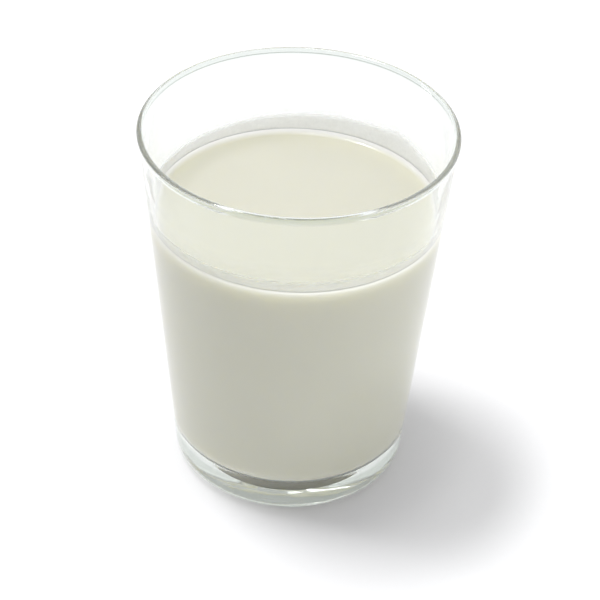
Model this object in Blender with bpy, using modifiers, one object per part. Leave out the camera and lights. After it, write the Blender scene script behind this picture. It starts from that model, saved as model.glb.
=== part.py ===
# Glass of coconut milk: a plain tapered tumbler with a beaded lip and a thick clear base,
# and the milk that stands in it.
# Metres, +Z up. The origin is the middle of the foot, on the table, and +Z is the turning axis.

import bpy
from math import atan, cos, pi, radians, sin, sqrt, tan

# Tumbler, outside
GLASS_HEIGHT = 0.1055
RIM_RADIUS = 0.0420
FOOT_RADIUS = 0.0321  # where the wall's line would meet the table
WALL_FLARE = radians(5.2)
HEEL_ROUND = 0.0046

# Lip: a rounded top with a bead that stands just proud of the wall below it
LIP_ROUND = 0.0008
BEAD_DEPTH = 0.0026

# Tumbler, inside
BASE_THICKNESS = 0.0095
WALL_AT_FLOOR = 0.0024
FLOOR_ROUND = 0.0050

# Underside: a flat resting ring round a shallow hollow
RING_INNER_RADIUS = 0.0235
HOLLOW_RISE = 0.0012

# Milk: a flat top that climbs a little where it meets the glass
MILK_LEVEL = 0.0800
MENISCUS_RISE = 0.0014
MENISCUS_REACH = 0.0028
MENISCUS_CURL = 2.5  # power of the curve: level at first, then ever steeper
GLASS_GAP = 0.0003

# Facets
TURN_STEPS = 72
ROUND_STEPS = 6
AXIS_MERGE = 0.00001
SHARP_ANGLE = radians(40)

COLLECTION_NAME = "glass_of_coconut_milk"

OUTER_SLOPE = tan(WALL_FLARE)
LIP_CENTRE_RADIUS = RIM_RADIUS - LIP_ROUND
LIP_CENTRE_HEIGHT = GLASS_HEIGHT - LIP_ROUND
BEAD_FOOT_HEIGHT = GLASS_HEIGHT - BEAD_DEPTH


def outer_radius(height):
    return FOOT_RADIUS + OUTER_SLOPE * height


CAVITY_FLOOR_RADIUS = outer_radius(BASE_THICKNESS) - WALL_AT_FLOOR
CAVITY_TOP_RADIUS = LIP_CENTRE_RADIUS - LIP_ROUND
INNER_SLOPE = (CAVITY_TOP_RADIUS - CAVITY_FLOOR_RADIUS) / (LIP_CENTRE_HEIGHT - BASE_THICKNESS)


def inner_radius(height):
    return CAVITY_FLOOR_RADIUS + INNER_SLOPE * (height - BASE_THICKNESS)


def arc(centre_radius, centre_height, size, start, end, steps):
    """Points (radius, height) along a circular arc, both ends included."""
    turns = [start + (end - start) * step / steps for step in range(steps + 1)]
    return [(centre_radius + size * cos(turn), centre_height + size * sin(turn)) for turn in turns]


def floor_corner(wall_radius, slope, floor_height, size):
    """The round between a level floor and a sloping wall, from the floor up to the wall."""
    lean = atan(slope)
    centre_height = floor_height + size
    centre_radius = wall_radius(centre_height) - size / cos(lean)
    return arc(centre_radius, centre_height, size, -pi / 2, -lean, ROUND_STEPS)


def lip():
    """Over the top of the rim, from the inner side to the outer side."""
    return arc(LIP_CENTRE_RADIUS, LIP_CENTRE_HEIGHT, LIP_ROUND, pi, 0, 2 * ROUND_STEPS)


def bead():
    """Down the outside of the lip, easing back to the wall's own line."""
    wall_radius = outer_radius(BEAD_FOOT_HEIGHT)
    drop = LIP_CENTRE_HEIGHT - BEAD_FOOT_HEIGHT
    points = []
    for step in range(1, ROUND_STEPS + 1):
        share = step / ROUND_STEPS
        proud = (RIM_RADIUS - wall_radius) * (1 + cos(pi * share)) / 2
        points.append((wall_radius + proud, LIP_CENTRE_HEIGHT - drop * share))
    return points


def underside():
    """The resting ring's inner edge, then the shallow domed hollow to the axis."""
    dome = (RING_INNER_RADIUS**2 + HOLLOW_RISE**2) / (2 * HOLLOW_RISE)
    points = []
    for step in range(ROUND_STEPS + 1):
        radius = RING_INNER_RADIUS * (1 - step / ROUND_STEPS)
        points.append((radius, HOLLOW_RISE - dome + sqrt(dome**2 - radius**2)))
    return points


def tumbler_profile():
    cavity = [(0, BASE_THICKNESS)] + floor_corner(inner_radius, INNER_SLOPE, BASE_THICKNESS, FLOOR_ROUND)
    heel = floor_corner(outer_radius, OUTER_SLOPE, 0, HEEL_ROUND)
    return cavity + lip() + bead() + heel[::-1] + underside()


def milk_radius(height):
    return inner_radius(height) - GLASS_GAP / cos(atan(INNER_SLOPE))


def meniscus():
    """The milk's top edge, curling up from the level to the wall."""
    edge_radius = milk_radius(MILK_LEVEL + MENISCUS_RISE)
    points = []
    for step in range(ROUND_STEPS + 1):
        share = step / ROUND_STEPS
        radius = edge_radius - MENISCUS_REACH * (1 - share)
        points.append((radius, MILK_LEVEL + MENISCUS_RISE * share**MENISCUS_CURL))
    return points


def milk_profile():
    bottom = BASE_THICKNESS + GLASS_GAP
    corner = floor_corner(milk_radius, INNER_SLOPE, bottom, FLOOR_ROUND - GLASS_GAP)
    return [(0, MILK_LEVEL)] + meniscus() + corner[::-1] + [(0, bottom)]


def principled(name, colour, roughness, **inputs):
    material = bpy.data.materials.new(name)
    material.use_nodes = True
    shader = material.node_tree.nodes["Principled BSDF"]
    shader.inputs["Base Color"].default_value = (*colour, 1)
    shader.inputs["Metallic"].default_value = 0
    shader.inputs["Roughness"].default_value = roughness
    for socket, value in inputs.items():
        shader.inputs[socket.replace("_", " ")].default_value = value
    material.diffuse_color = (*colour, 1)
    return material


def turned(name, profile, material, collection):
    """A solid of revolution about +Z from a profile that runs down its outer side."""
    mesh = bpy.data.meshes.new(name)
    edges = [(index, index + 1) for index in range(len(profile) - 1)]
    mesh.from_pydata([(radius, 0, height) for radius, height in profile], edges, [])
    obj = bpy.data.objects.new(name, mesh)
    collection.objects.link(obj)
    screw = obj.modifiers.new("turn", "SCREW")
    screw.axis = "Z"
    screw.angle = 2 * pi
    screw.steps = TURN_STEPS
    screw.render_steps = TURN_STEPS
    screw.use_merge_vertices = True
    screw.merge_threshold = AXIS_MERGE
    return smooth_solid(obj, material)


def smooth_solid(obj, material):
    """The evaluated shape as its own mesh, shaded smooth but for its real creases."""
    graph = bpy.context.evaluated_depsgraph_get()
    mesh = bpy.data.meshes.new_from_object(obj.evaluated_get(graph))
    obj.modifiers.clear()
    obj.data = mesh
    mesh.name = obj.name
    mesh.shade_smooth()
    mesh.set_sharp_from_angle(angle=SHARP_ANGLE)
    mesh.materials.clear()
    mesh.materials.append(material)
    return obj


def clear_scene():
    for obj in list(bpy.data.objects):
        bpy.data.objects.remove(obj, do_unlink=True)


def build():
    clear_scene()
    collection = bpy.data.collections.new(COLLECTION_NAME)
    bpy.context.scene.collection.children.link(collection)
    clear_glass = principled("clear_glass", (0.93, 0.97, 0.94), 0.02, Transmission_Weight=1.0, IOR=1.52)
    coconut_milk = principled("coconut_milk", (0.90, 0.90, 0.84), 0.35, Subsurface_Weight=0.4)
    turned("glass_tumbler", tumbler_profile(), clear_glass, collection)
    turned("coconut_milk", milk_profile(), coconut_milk, collection)


build()
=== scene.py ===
import math

import bmesh
import bpy
from mathutils import Matrix, Vector, noise


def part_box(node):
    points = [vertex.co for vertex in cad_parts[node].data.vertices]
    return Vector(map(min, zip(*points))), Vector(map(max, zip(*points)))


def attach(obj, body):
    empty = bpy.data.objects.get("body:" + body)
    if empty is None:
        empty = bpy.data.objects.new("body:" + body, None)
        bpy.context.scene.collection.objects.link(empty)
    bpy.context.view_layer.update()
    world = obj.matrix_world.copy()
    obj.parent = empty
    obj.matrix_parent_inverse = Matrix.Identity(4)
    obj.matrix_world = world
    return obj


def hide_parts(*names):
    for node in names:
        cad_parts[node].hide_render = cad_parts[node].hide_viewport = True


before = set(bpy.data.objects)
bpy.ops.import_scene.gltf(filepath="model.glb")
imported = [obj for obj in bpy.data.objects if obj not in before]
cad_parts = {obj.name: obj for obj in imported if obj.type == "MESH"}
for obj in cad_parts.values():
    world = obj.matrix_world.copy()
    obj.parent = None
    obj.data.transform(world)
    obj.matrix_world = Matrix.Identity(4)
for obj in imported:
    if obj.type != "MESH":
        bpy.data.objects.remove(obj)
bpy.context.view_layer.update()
glassLow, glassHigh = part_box("glass_tumbler")
milkLow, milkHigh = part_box("coconut_milk")
print("frame loaded")


# helpers for colours and nodes


def hexColour(code):  # sRGB hex to linear RGBA
    shares = [int(code[start : start + 2], 16) / 255 for start in (1, 3, 5)]
    linear = [share / 12.92 if share <= 0.04045 else ((share + 0.055) / 1.055) ** 2.4 for share in shares]
    return (*linear, 1)


def addNode(tree, kind, settings=None, links=None):  # a key is an input's name or number, or a property
    node = tree.nodes.new(kind)
    for key, value in (settings or {}).items():
        if isinstance(key, int) or key in node.inputs:
            node.inputs[key].default_value = value
        else:
            setattr(node, key, value)
    for key, source in (links or {}).items():
        tree.links.new(source, node.inputs[key])
    return node


def newMaterial(name):
    material = bpy.data.materials.new(name)
    material.use_nodes = True
    material.node_tree.nodes.clear()
    return material, material.node_tree


# helpers for modelling

samePlace = 1e-6  # points nearer to each other than this are one
longestRun = 0.0036  # of an outline, between two points
sharpAngle = math.radians(35)
segments = {"wide": 16, "lip": 12, "gentle": 10, "fine": 5, "slight": 3}  # in a round of each kind


def selectNothing():
    if bpy.context.mode != "OBJECT":
        bpy.ops.object.mode_set(mode="OBJECT")
    bpy.ops.object.select_all(action="DESELECT")


def selectVertices(piece, test):  # in edit mode, by place
    bm = bmesh.from_edit_mesh(piece.data)
    for part in (*bm.faces, *bm.edges, *bm.verts):
        part.select = False
    for vertex in bm.verts:
        vertex.select = test(vertex.co)
    bm.select_flush_mode()
    bmesh.update_edit_mesh(piece.data)


def startLine(name, radius, height):  # a small plane merged to one vertex, the start of an outline
    selectNothing()
    bpy.ops.mesh.primitive_plane_add(size=0.001, location=(0, 0, 0))
    piece = bpy.context.active_object
    piece.name = piece.data.name = name
    bpy.ops.object.mode_set(mode="EDIT")
    bpy.ops.mesh.select_all(action="SELECT")
    bpy.ops.mesh.merge(type="CENTER")
    bpy.ops.transform.translate(value=(radius, 0, height))
    return piece


def roundCorner(piece, before, corner, after, size, count):
    inward = Vector(corner) - Vector(before)
    onward = Vector(after) - Vector(corner)
    slide = size * math.tan(inward.angle(onward) / 2)  # where the arc meets the two straight runs
    point = Vector((corner[0], 0, corner[1]))
    selectVertices(piece, lambda place: (place - point).length < samePlace)
    bpy.ops.mesh.bevel(offset=slide, offset_type="OFFSET", segments=count, profile=0.5, affect="VERTICES")


def splitLongRuns(piece, longest):  # so that smooth shading bends only where the outline does
    while True:
        bm = bmesh.from_edit_mesh(piece.data)
        longEdges = [edge for edge in bm.edges if edge.calc_length() > longest]
        if not longEdges:
            return
        for part in (*bm.edges, *bm.verts):
            part.select_set(False)
        for edge in longEdges:
            edge.select_set(True)
        bmesh.update_edit_mesh(piece.data)
        bpy.ops.mesh.subdivide(number_cuts=1)


def spinLine(steps):  # once round the axis, with its seam and poles closed
    bpy.ops.mesh.select_all(action="SELECT")
    bpy.ops.mesh.spin(steps=steps, angle=2 * math.pi, center=(0, 0, 0), axis=(0, 0, 1))
    bpy.ops.mesh.select_all(action="SELECT")
    bpy.ops.mesh.remove_doubles(threshold=samePlace)
    bpy.ops.mesh.normals_make_consistent(inside=False)
    bpy.ops.object.mode_set(mode="OBJECT")


def turnPiece(name, corners, steps):  # corners are (radius, height, round, segments), along the outline
    piece = startLine(name, *corners[0][:2])
    for before, after in zip(corners, corners[1:]):
        move = (after[0] - before[0], 0, after[1] - before[1])
        bpy.ops.mesh.extrude_region_move(TRANSFORM_OT_translate={"value": move})
    for before, corner, after in zip(corners, corners[1:], corners[2:]):
        if corner[2]:
            roundCorner(piece, before[:2], corner[:2], after[:2], corner[2], corner[3])
    splitLongRuns(piece, longestRun)
    spinLine(steps)
    bpy.ops.object.shade_smooth_by_angle(angle=sharpAngle)
    return piece


# the tumbler

milkGap = 0.0003  # of air between milk and glass in the loaded solids
tumbler = {
    "footRadius": 0.0321,  # where the wall's line meets the table
    "flare": math.radians(5.2),
    "heelRound": 0.0046,
    "baseThickness": milkLow.z - milkGap,
    "floorRound": 0.0050,
    "wallAtFloor": 0.0024,
    "lipWidth": 0.0016,
    "lipRound": 0.00076,
    "innerBead": 0.00014,  # how far the lip stands in from the wall below it
    "innerBeadFoot": 0.0013,  # below the rim
    "innerBeadRise": 0.0004,  # over which it comes to stand in
    "innerBeadRounds": (0.0003, 0.0004),  # at the foot and above it
    "beadTop": 0.0012,  # below the rim, where the bead outside starts to fall back to the wall
    "beadFoot": 0.0023,
    "beadRound": 0.0007,
    "ringInner": 0.0235,  # the flat ring that it stands on
    "ringRound": 0.0004,
    "stepWidth": 0.0025,  # from the ring up to a level recess
    "stepRise": 0.0001,
    "domeRadius": 0.0125,  # in the middle of that recess
    "domeRise": 0.0009,  # above the table
    "domeRound": 0.9,  # share of the largest round that the dome has room for
    "steps": 320,
}


def outerRadius(height):
    return tumbler["footRadius"] + math.tan(tumbler["flare"]) * height


def innerRadius(height):
    floorHeight = tumbler["baseThickness"]
    floorRadius = outerRadius(floorHeight) - tumbler["wallAtFloor"]
    topRadius = glassHigh.x - tumbler["lipWidth"] + tumbler["innerBead"]
    share = (height - floorHeight) / (glassHigh.z - tumbler["lipWidth"] / 2 - floorHeight)
    return floorRadius + (topRadius - floorRadius) * share


def cavityCorners():  # from the axis along the floor and up the inner wall
    floorHeight = tumbler["baseThickness"]
    foot = glassHigh.z - tumbler["innerBeadFoot"]
    footRound, riseRound = tumbler["innerBeadRounds"]
    lipInner = glassHigh.x - tumbler["lipWidth"]
    return [
        (0, floorHeight, 0, 0),
        (innerRadius(floorHeight), floorHeight, tumbler["floorRound"], segments["wide"]),
        (innerRadius(foot), foot, footRound, segments["slight"]),
        (lipInner, foot + tumbler["innerBeadRise"], riseRound, segments["slight"]),
        (lipInner, glassHigh.z, tumbler["lipRound"], segments["lip"]),
    ]


def outerCorners():  # from the lip down the outer wall to the heel
    foot = glassHigh.z - tumbler["beadFoot"]
    return [
        (glassHigh.x, glassHigh.z, tumbler["lipRound"], segments["lip"]),
        (glassHigh.x, glassHigh.z - tumbler["beadTop"], tumbler["beadRound"], segments["fine"]),
        (outerRadius(foot), foot, tumbler["beadRound"], segments["fine"]),
        (tumbler["footRadius"], 0, tumbler["heelRound"], segments["wide"]),
    ]


def undersideCorners():  # from the resting ring over the recess and the low dome to the axis
    ring = tumbler["ringInner"]
    edge = tumbler["domeRadius"]
    step = tumbler["stepRise"]
    top = tumbler["domeRise"]
    slope = math.atan(2 * (top - step) / edge)
    largestRound = edge / 2 / math.tan(slope / 2)
    return [
        (ring, 0, tumbler["ringRound"], segments["fine"]),
        (ring - tumbler["stepWidth"], step, tumbler["ringRound"], segments["fine"]),
        (edge, step, tumbler["ringRound"], segments["slight"]),
        (edge / 2, top, largestRound * tumbler["domeRound"], segments["gentle"]),
        (0, top, 0, 0),
    ]


def makeTumbler():
    corners = cavityCorners() + outerCorners() + undersideCorners()
    return turnPiece("tumbler", corners, tumbler["steps"])


# the milk

milk = {
    "rise": 0.0014,  # how far the edge climbs the wall
    "slope": math.radians(64),
    "edgeRound": 0.0016,
    "bite": 0.00008,  # how far it reaches into the glass, so that no air shows between them
    "openFrom": 0.4,  # a face whose normal rises more than this meets the air, and any other the glass
    "steps": 240,
}


def makeMilk():
    edgeHeight = milkHigh.z
    level = edgeHeight - milk["rise"]
    edge = innerRadius(edgeHeight) + milk["bite"]
    curl = edge - milk["rise"] / math.tan(milk["slope"])
    bottom = tumbler["baseThickness"] - milk["bite"]
    corners = [
        (0, level, 0, 0),
        (curl, level, milk["edgeRound"], segments["gentle"]),
        (edge, edgeHeight, 0, 0),
        (innerRadius(bottom) + milk["bite"], bottom, tumbler["floorRound"], segments["wide"]),
        (0, bottom, 0, 0),
    ]
    return turnPiece("milk", corners, milk["steps"])


# the film that the milk left on the wall

film = {
    "low": milkHigh.z - 0.00018,  # any lower and it would lie over the milk's edge and shade it
    "high": milkHigh.z + 0.0034,
    "haze": 0.0060,  # how far a faint haze reaches above the film
    "bite": 0.00004,
    "thickness": 0.00012,
    "lean": 0.0022,  # how much higher it stands at the back right
    "leanTurn": math.radians(62),
    "peak": 0.0016,  # where the milk last ran up the wall
    "peakTurn": math.radians(45),
    "peakWidth": math.radians(10),
    "waviness": 0.0002,  # of its upper edge
    "peakOverWaviness": 5,  # the peak's height over the waviness that it adds
    "waves": 9,  # scale of the noise that breaks up that edge
    "waveDetail": (0.9, 2.1, 5),  # its fall-off, the step between octaves and their number
    "steps": 360,
    "rings": 16,  # of faces, one above the other
    "hazeFrom": 10,  # the ring where the film ends and the haze begins
}


def topOfFilm(turn):
    lean = film["lean"] * max(0.0, math.cos(turn - film["leanTurn"])) ** 2
    peak = film["peak"] * math.exp(-(((turn - film["peakTurn"]) / film["peakWidth"]) ** 2))
    around = Vector((math.cos(turn), math.sin(turn), 0))
    wave = noise.fractal(around * film["waves"], *film["waveDetail"])
    return film["high"] + lean + peak + wave * (film["waviness"] + peak / film["peakOverWaviness"])


def climbAndHeight(ring, turn):  # climb is 0 at the milk, 1 at the film's edge and 2 where the haze has gone
    edge = topOfFilm(turn)
    if ring <= film["hazeFrom"]:
        climb = ring / film["hazeFrom"]
        return climb, film["low"] + (edge - film["low"]) * climb
    climb = 1 + (ring - film["hazeFrom"]) / (film["rings"] - film["hazeFrom"])
    return climb, edge + film["haze"] * (climb - 1)


def makeFilm():
    low = film["low"]
    step = (film["high"] - low) / film["rings"]
    outward = innerRadius(low + step) - innerRadius(low)
    piece = startLine("milk_film", innerRadius(low) + film["bite"], low)
    for ring in range(film["rings"]):
        bpy.ops.mesh.extrude_region_move(TRANSFORM_OT_translate={"value": (outward, 0, step)})
    spinLine(film["steps"])
    climbs = piece.data.attributes.new("climb", "FLOAT", "POINT")
    for vertex in piece.data.vertices:
        across, along, height = vertex.co
        ring = round((height - low) / step)
        climb, height = climbAndHeight(ring, math.atan2(along, across))
        scale = (innerRadius(height) + film["bite"]) / math.hypot(across, along)
        vertex.co = (across * scale, along * scale, height)
        climbs.data[vertex.index].value = climb
    wall = piece.modifiers.new("wall", "SOLIDIFY")
    wall.thickness = film["thickness"]
    wall.offset = -1
    bpy.ops.object.modifier_apply(modifier="wall")
    bpy.ops.object.shade_smooth()
    return piece


# the glass

glassLooks = {
    "wall": "#fbfdfb",
    "base": "#ccd3cd",  # where light runs a long way inside the glass
    "lip": "#e8ede9",
    "lipDepth": 0.0014,
    "lipPaintedShade": "#8d948f",  # painted shade: a dark line round its inner edge, standing in for the dark that the lip gathers from the wall below
    "lipPaintedShadeDepth": 0.0011,
    "lipPaintedShadeWidth": 0.00015,
    "blend": 0.0008,  # over which the base turns into the wall, and the wall into the lip
    "surface": {"Roughness": 0.0, "IOR": 1.52, "Transmission Weight": 1.0},
    "ripple": {"Scale": 1 / 0.010, "Detail": 1.5, "Roughness": 0.4},  # one every 10 mm
    "rippleHeight": {"Strength": 0.08, "Distance": 0.001},
    "mirrored": (0.043, 0.45),  # share of lamp light that a face turns away, head on and edge on
    "mirrorPower": 5.0,  # how steeply that share grows towards edge on
    "lampTint": (0.985, 0.99, 0.985, 1),  # of the light that goes through
}


def lipPaintedShadeLine(tree, place, height):  # 1 on a thin line round the lip's inner edge, where shade is painted in as a dark line
    level = addNode(tree, "ShaderNodeVectorMath", {"operation": "MULTIPLY", 1: (1, 1, 0)}, {0: place})
    radius = addNode(tree, "ShaderNodeVectorMath", {"operation": "LENGTH"}, {0: level.outputs[0]})
    inside = addNode(
        tree,
        "ShaderNodeMath",
        {"operation": "LESS_THAN", 1: glassHigh.x - tumbler["lipWidth"] / 2},
        {0: radius.outputs["Value"]},
    )
    atEdge = addNode(
        tree,
        "ShaderNodeMath",
        {"operation": "COMPARE", 1: glassHigh.z - glassLooks["lipPaintedShadeDepth"], 2: glassLooks["lipPaintedShadeWidth"]},
        {0: height},
    )
    line = addNode(
        tree,
        "ShaderNodeMath",
        {"operation": "MULTIPLY"},
        {0: inside.outputs[0], 1: atEdge.outputs[0]},
    )
    return line.outputs[0]


def glassTint(tree, place):  # base, wall and lip by height, with a dark line of painted shade round the lip's inner edge
    looks = glassLooks
    height = addNode(tree, "ShaderNodeSeparateXYZ", {}, {0: place}).outputs["Z"]
    floorHeight = tumbler["baseThickness"]
    inBase = addNode(
        tree,
        "ShaderNodeMapRange",
        {"From Min": floorHeight, "From Max": floorHeight + looks["blend"], "To Min": 1.0, "To Max": 0.0},
        {"Value": height},
    )
    lipFoot = glassHigh.z - looks["lipDepth"]
    inLip = addNode(
        tree,
        "ShaderNodeMapRange",
        {"From Min": lipFoot - looks["blend"], "From Max": lipFoot},
        {"Value": height},
    )
    wallAndLip = addNode(
        tree,
        "ShaderNodeMix",
        {"data_type": "RGBA", 6: hexColour(looks["wall"]), 7: hexColour(looks["lip"])},
        {0: inLip.outputs[0]},
    )
    # a dark line of painted shade round the lip's inner edge
    withPaintedShade = addNode(
        tree,
        "ShaderNodeMix",
        {"data_type": "RGBA", 7: hexColour(looks["lipPaintedShade"])},
        {0: lipPaintedShadeLine(tree, place, height), 6: wallAndLip.outputs[2]},
    )
    tint = addNode(
        tree,
        "ShaderNodeMix",
        {"data_type": "RGBA", 7: hexColour(looks["base"])},
        {0: inBase.outputs[0], 6: withPaintedShade.outputs[2]},
    )
    return tint.outputs[2]


def lampsThrough(tree):  # what a lamp's light keeps when it passes a face
    looks = glassLooks
    facing = addNode(tree, "ShaderNodeLayerWeight", {"Blend": 0.5}).outputs["Facing"]
    grazing = addNode(tree, "ShaderNodeMath", {"operation": "POWER", 1: looks["mirrorPower"]}, {0: facing})
    mirrored = addNode(
        tree,
        "ShaderNodeMapRange",
        {"To Min": looks["mirrored"][0], "To Max": looks["mirrored"][1]},
        {"Value": grazing.outputs[0]},
    )
    passed = addNode(
        tree,
        "ShaderNodeMix",
        {"data_type": "RGBA", 6: looks["lampTint"], 7: (0, 0, 0, 1)},
        {0: mirrored.outputs[0]},
    )
    return addNode(tree, "ShaderNodeBsdfTransparent", {}, {"Color": passed.outputs[2]}).outputs[0]


def sodaLimeGlass():
    # soda-lime glass, pressed, fire polished: clear, mirror smooth, faintly rippled, grey-green where thick,
    # with a dark line of painted shade round the lip's inner edge
    looks = glassLooks
    material, tree = newMaterial("pressedSodaLimeGlass")
    place = addNode(tree, "ShaderNodeTexCoord").outputs["Object"]
    ripple = addNode(tree, "ShaderNodeTexNoise", looks["ripple"], {"Vector": place})
    bump = addNode(tree, "ShaderNodeBump", looks["rippleHeight"], {"Height": ripple.outputs[0]})
    glass = addNode(
        tree,
        "ShaderNodeBsdfPrincipled",
        looks["surface"],
        {"Base Color": glassTint(tree, place), "Normal": bump.outputs[0]},
    )
    # lamps, and light that matt things send out, pass straight; what the eye sees is bent as it should be
    ray = addNode(tree, "ShaderNodeLightPath")
    straight = addNode(
        tree,
        "ShaderNodeMath",
        {"operation": "MAXIMUM"},
        {0: ray.outputs["Is Shadow Ray"], 1: ray.outputs["Is Diffuse Ray"]},
    )
    surface = addNode(
        tree,
        "ShaderNodeMixShader",
        {},
        {0: straight.outputs[0], 1: glass.outputs[0], 2: lampsThrough(tree)},
    )
    addNode(tree, "ShaderNodeOutputMaterial", {}, {"Surface": surface.outputs[0]})
    return material


# the milk's own material, in the open air and against the glass

milkLooks = {
    "colours": ("#d5d4c6", "#d7d6c8"),
    "clouds": {"Scale": 1 / 0.022, "Detail": 3.0},  # barely seen, one every 22 mm
    "cloudRange": {"From Min": 0.3, "From Max": 0.7},
    "depth": {
        "IOR": 1.35,
        "Subsurface Weight": 1.0,
        "Subsurface Radius": (1.0, 0.95, 0.75),  # red wanders furthest, blue least
        "Subsurface Scale": 0.0080,
    },
    "still": {"Roughness": 0.06, "Specular IOR Level": 0.5},
    "onGlass": {"Roughness": 0.0, "Specular IOR Level": 0.0},
    "mirror": {"From Min": 0.48, "From Max": 0.55},  # slant, 0 head on and 1 edge on, where it sets in
}


def coconutMilk(name, finish, wetsGlass):
    # coconut milk, homogenised: opaque, creamy white, light wanders a little way in, and a still wet surface
    looks = milkLooks
    material, tree = newMaterial(name)
    place = addNode(tree, "ShaderNodeTexCoord").outputs["Object"]
    cloud = addNode(tree, "ShaderNodeTexNoise", looks["clouds"], {"Vector": place})
    share = addNode(tree, "ShaderNodeMapRange", looks["cloudRange"], {"Value": cloud.outputs[0]})
    colour = addNode(
        tree,
        "ShaderNodeMix",
        {"data_type": "RGBA", 6: hexColour(looks["colours"][0]), 7: hexColour(looks["colours"][1])},
        {0: share.outputs[0]},
    )
    links = {"Base Color": colour.outputs[2]}
    if wetsGlass:  # at a slant, the glass that it wets mirrors all light
        slant = addNode(tree, "ShaderNodeLayerWeight", {"Blend": 0.5}).outputs["Facing"]
        mirror = addNode(
            tree,
            "ShaderNodeMapRange",
            {"interpolation_type": "SMOOTHSTEP", **looks["mirror"]},
            {"Value": slant},
        )
        bright = addNode(
            tree,
            "ShaderNodeMix",
            {"data_type": "RGBA", 7: (1, 1, 1, 1)},
            {0: mirror.outputs[0], 6: colour.outputs[2]},
        )
        links = {"Base Color": bright.outputs[2], "Metallic": mirror.outputs[0]}
    shader = addNode(tree, "ShaderNodeBsdfPrincipled", {**looks["depth"], **finish}, links)
    addNode(tree, "ShaderNodeOutputMaterial", {}, {"Surface": shader.outputs[0]})
    return material


# the film's material

filmLooks = {
    "colour": "#e8e8df",
    "cover": (0.58, 0.36),  # at the milk and at the film's edge
    "edgeFrom": 0.62,  # share of the climb where the film thins out
    "haze": 0.09,  # cover just above that edge
    "hazeEnd": 1.9,  # climb at which it is gone
    "streaks": {"Scale": 1 / 0.0009, "Detail": 3.0, "Roughness": 0.6},  # 0.9 mm apart
    "streakRange": {"From Min": 0.3, "From Max": 0.7, "To Min": 0.91, "To Max": 1.0},
    "surface": {
        "Roughness": 0.5,
        "IOR": 1.35,
        "Specular IOR Level": 0.1,
        "Subsurface Weight": 1.0,
        "Subsurface Radius": (1.0, 0.95, 0.85),
        "Subsurface Scale": 0.001,
    },
}


def filmCover(tree, place):  # how much of what is behind it the film hides
    looks = filmLooks
    climb = addNode(tree, "ShaderNodeAttribute", {"attribute_name": "climb"}).outputs["Fac"]
    streak = addNode(tree, "ShaderNodeTexNoise", looks["streaks"], {"Vector": place})
    grain = addNode(tree, "ShaderNodeMapRange", looks["streakRange"], {"Value": streak.outputs[0]})
    haze = addNode(
        tree,
        "ShaderNodeMapRange",
        {"From Min": 1.0, "From Max": looks["hazeEnd"], "To Min": looks["haze"], "To Max": 0.0},
        {"Value": climb},
    )
    body = addNode(
        tree,
        "ShaderNodeMapRange",
        {"From Min": 0.0, "From Max": 1.0, "To Min": looks["cover"][0], "To Max": looks["cover"][1]},
        {"Value": climb},
    )
    above = addNode(
        tree,
        "ShaderNodeMapRange",
        {"interpolation_type": "SMOOTHSTEP", "From Min": looks["edgeFrom"], "From Max": 1.0},
        {"Value": climb},
    )
    even = addNode(
        tree,
        "ShaderNodeMix",
        {"data_type": "FLOAT"},
        {0: above.outputs[0], 2: body.outputs[0], 3: haze.outputs[0]},
    )
    cover = addNode(
        tree,
        "ShaderNodeMath",
        {"operation": "MULTIPLY"},
        {0: even.outputs[0], 1: grain.outputs[0]},
    )
    return cover.outputs[0]


def milkFilm():
    # a thin wet film of the milk: streaked, half clear, thinner upwards, with a faint haze above it that
    # thins out upwards
    looks = filmLooks
    material, tree = newMaterial("coconutMilkFilm")
    place = addNode(tree, "ShaderNodeTexCoord").outputs["Object"]
    shader = addNode(
        tree,
        "ShaderNodeBsdfPrincipled",
        {"Base Color": hexColour(looks["colour"]), **looks["surface"]},
        {"Alpha": filmCover(tree, place)},
    )
    addNode(tree, "ShaderNodeOutputMaterial", {}, {"Surface": shader.outputs[0]})
    return material


# put together

glassPiece = makeTumbler()
glassPiece.data.materials.append(sodaLimeGlass())
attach(glassPiece, "root")
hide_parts("glass_tumbler")
print("tumbler made")

milkPiece = makeMilk()
milkPiece.data.materials.append(coconutMilk("coconutMilkStill", milkLooks["still"], False))
milkPiece.data.materials.append(coconutMilk("coconutMilkOnGlass", milkLooks["onGlass"], True))
for face in milkPiece.data.polygons:
    face.material_index = 0 if face.normal.z > milk["openFrom"] else 1
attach(milkPiece, "root")
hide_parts("coconut_milk")
print("milk made")

filmPiece = makeFilm()
filmPiece.data.materials.append(milkFilm())
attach(filmPiece, "root")
print("film made")


# the floor

cardLooks = {
    "colours": ("#f6f6f8", "#f8f8fa"),
    "grain": {"Scale": 1 / 0.0015, "Detail": 2.0},  # 1.5 mm, coarser than a real card's so that it can show
    "surface": {"Roughness": 0.9, "Specular IOR Level": 0.1},
}
floorCard = {
    "size": 12.0,
    "sides": 64,
    "drop": 0.0001,  # the air that stays under a glass foot
}


def whiteCard():
    # matt white card: even and bright, with a barely visible grain
    looks = cardLooks
    material, tree = newMaterial("mattWhiteCard")
    place = addNode(tree, "ShaderNodeTexCoord").outputs["Object"]
    grain = addNode(tree, "ShaderNodeTexNoise", looks["grain"], {"Vector": place})
    colour = addNode(
        tree,
        "ShaderNodeMix",
        {"data_type": "RGBA", 6: hexColour(looks["colours"][0]), 7: hexColour(looks["colours"][1])},
        {0: grain.outputs[0]},
    )
    shader = addNode(tree, "ShaderNodeBsdfPrincipled", looks["surface"], {"Base Color": colour.outputs[2]})
    addNode(tree, "ShaderNodeOutputMaterial", {}, {"Surface": shader.outputs[0]})
    return material


def makeFloor():
    selectNothing()
    bpy.ops.mesh.primitive_circle_add(
        vertices=floorCard["sides"],
        radius=floorCard["size"] / 2,
        fill_type="NGON",
        location=(0, 0, -floorCard["drop"]),
    )
    bpy.ops.object.transform_apply(location=True)
    floor = bpy.context.active_object
    floor.name = floor.data.name = "floor_card"
    floor.data.materials.append(whiteCard())


# the light

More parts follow.
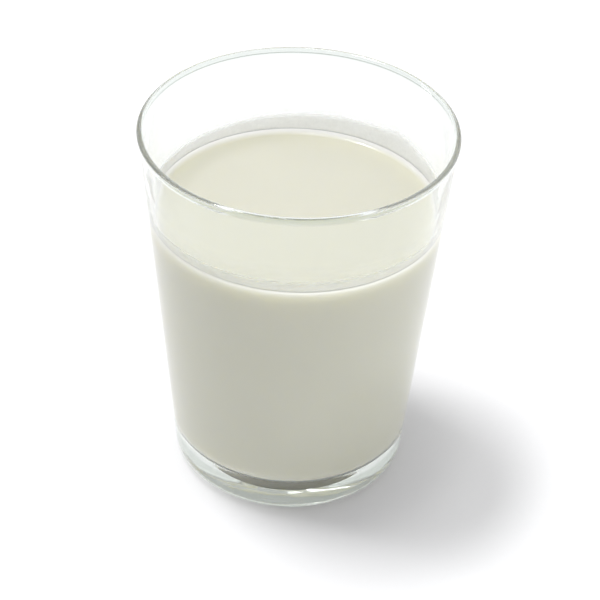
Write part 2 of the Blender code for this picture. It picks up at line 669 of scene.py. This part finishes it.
sky = {
    "top": 0.64,
    "left": 0.00,  # near the horizon, to the left and to the right
    "right": 1.12,
    "back": 0.80,  # added behind the glass
    "spread": 2.0,  # the power by which side and back fall off
    "blend": 0.90,  # sine of the height where the upper sky is reached
}
lampDistance = 4.0
lamps = {  # towards the lamp, width, length, power
    "key_softbox": (Vector((-0.0280, 0.0122, 0.080)), 1.55, 0.80, 81),
    "ceiling_glow": (Vector((-0.10, 0.02, 1.0)), 0.74, 0.74, 17),
    "window_glow": (Vector((-0.80, 0.25, 0.55)), 0.55, 0.98, 10),
}


def makeSky():  # near the horizon brighter to the right and behind, even above
    world = bpy.data.worlds.new("softRoom")
    world.use_nodes = True
    tree = world.node_tree
    tree.nodes.clear()
    place = addNode(tree, "ShaderNodeTexCoord").outputs["Generated"]
    axes = addNode(tree, "ShaderNodeSeparateXYZ", {}, {0: place})
    fallOff = {"operation": "POWER", 1: sky["spread"]}
    across = addNode(
        tree,
        "ShaderNodeMapRange",
        {"From Min": -1.0, "From Max": 1.0},
        {"Value": axes.outputs["X"]},
    )
    toRight = addNode(tree, "ShaderNodeMath", fallOff, {0: across.outputs[0]})
    side = addNode(
        tree,
        "ShaderNodeMapRange",
        {"To Min": sky["left"], "To Max": sky["right"]},
        {"Value": toRight.outputs[0]},
    )
    behind = addNode(tree, "ShaderNodeMath", {"operation": "MAXIMUM", 1: 0.0}, {0: axes.outputs["Y"]})
    toBack = addNode(tree, "ShaderNodeMath", fallOff, {0: behind.outputs[0]})
    edge = addNode(
        tree,
        "ShaderNodeMath",
        {"operation": "MULTIPLY_ADD", 1: sky["back"]},
        {0: toBack.outputs[0], 2: side.outputs[0]},
    )
    level = addNode(
        tree,
        "ShaderNodeMapRange",
        {"interpolation_type": "SMOOTHSTEP", "From Max": sky["blend"], "To Max": sky["top"]},
        {"Value": axes.outputs["Z"], "To Min": edge.outputs[0]},
    )
    glow = addNode(tree, "ShaderNodeBackground", {"Color": (1, 1, 1, 1)}, {"Strength": level.outputs[0]})
    addNode(tree, "ShaderNodeOutputWorld", {}, {"Surface": glow.outputs[0]})
    bpy.context.scene.world = world


def makeLamp(name, towards, width, length, power):
    direction = towards.normalized()
    selectNothing()
    bpy.ops.object.light_add(type="AREA", location=direction * lampDistance)
    lamp = bpy.context.active_object
    lamp.name = lamp.data.name = name
    lamp.data.shape = "ELLIPSE"
    lamp.data.size = width
    lamp.data.size_y = length
    lamp.data.energy = power
    lamp.rotation_euler = direction.to_track_quat("Z", "Y").to_euler()


# the camera

camera = {
    "place": Vector((0, -0.4392, 0.3810)),
    "aim": Vector((0.00189, 0, 0.04971)),
    "roll": math.radians(2.166),
    "lens": 120,  # millimetres, as the sensor is
    "sensor": 36,
    "nearest": 0.01,  # metres
}


def makeCamera():
    selectNothing()
    bpy.ops.object.camera_add(location=camera["place"])
    view = bpy.context.active_object
    view.name = view.data.name = "photo_camera"
    look = (camera["aim"] - camera["place"]).to_track_quat("-Z", "Y").to_matrix()
    view.rotation_euler = (look @ Matrix.Rotation(camera["roll"], 3, "Z")).to_euler()
    view.data.lens = camera["lens"]
    view.data.sensor_width = camera["sensor"]
    view.data.clip_start = camera["nearest"]
    bpy.context.scene.camera = view


makeFloor()
makeSky()
for name, lamp in lamps.items():
    makeLamp(name, *lamp)
makeCamera()
bpy.context.scene.view_settings.view_transform = "Standard"
cycles = bpy.context.scene.cycles  # a ray crosses many faces in the thick base and the two walls
cycles.max_bounces = 32
cycles.transmission_bounces = 32
cycles.glossy_bounces = 24
cycles.transparent_max_bounces = 24
print("studio made")
